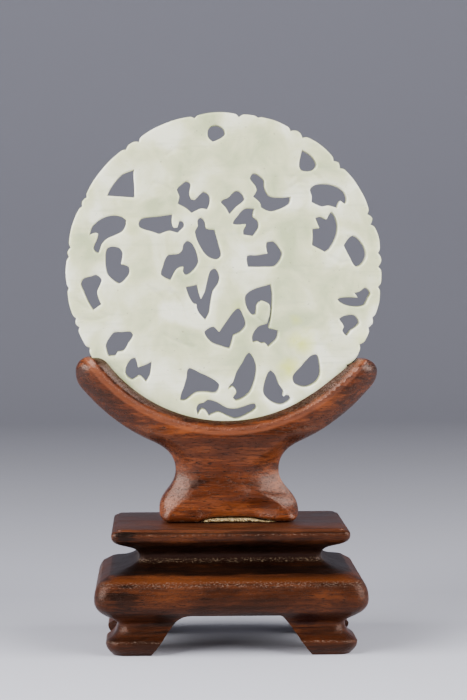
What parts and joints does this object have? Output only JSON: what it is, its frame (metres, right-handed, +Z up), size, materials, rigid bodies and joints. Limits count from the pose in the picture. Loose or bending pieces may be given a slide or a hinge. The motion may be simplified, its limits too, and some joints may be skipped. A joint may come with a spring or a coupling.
{
  "type": "carved jade disc on a wooden stand",
  "caption": "Pierced, scalloped disc of pale jade that stands upright in the grooved cradle of a small carved hardwood stand with bracket feet.",
  "frame": {"origin": "centre of the outline's box at floor level, which is on the disc's axis within 0.1 mm", "axes": "+Z up; +X to the right of someone who faces the carved front; +Y away from them, so the front faces -Y"},
  "size_m": [0.0557, 0.0344, 0.0937],
  "materials": {
    "dark_hardwood": "varnished",
    "orange_hardwood": "varnished",
    "dried_glue": "dried, granular",
    "jade": "polished, cloudy"
  },
  "bodies": {
    "root": {"base": "dark_hardwood", "glue_bead": "dried_glue", "cradle": "orange_hardwood", "jade_disc": "jade"}
  },
  "joints": []
}
